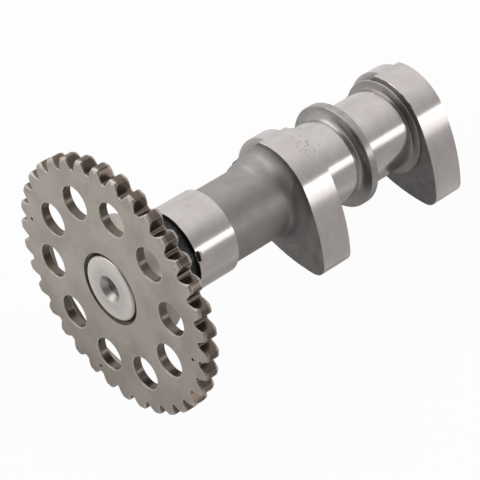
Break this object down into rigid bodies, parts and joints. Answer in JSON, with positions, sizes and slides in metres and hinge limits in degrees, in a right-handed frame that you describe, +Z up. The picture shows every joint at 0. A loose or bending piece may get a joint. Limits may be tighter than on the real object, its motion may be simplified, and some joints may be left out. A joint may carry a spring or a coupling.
{
  "type": "camshaft",
  "caption": "Short two-lobe engine camshaft with ground journals, a thrust flange and a pressed-on toothed timing sprocket with a ring of lightening holes.",
  "frame": {"origin": "centre of the bounding box's footprint, on the surface that the part lies on", "axes": "+Z up; the shaft runs along +X from the sprocket towards the tail and dips by its resting tilt, because the sprocket is larger than the lobes"},
  "size_m": [0.1116, 0.07, 0.0693],
  "materials": {
    "shaft_steel": "ground journals and lobes, matte blasted necks and lobe sides",
    "sprocket_steel": "satin brown-grey heat-treated steel"
  },
  "bodies": {
    "root": {"camshaft": "shaft_steel", "timing_sprocket": "sprocket_steel"}
  },
  "joints": []
}
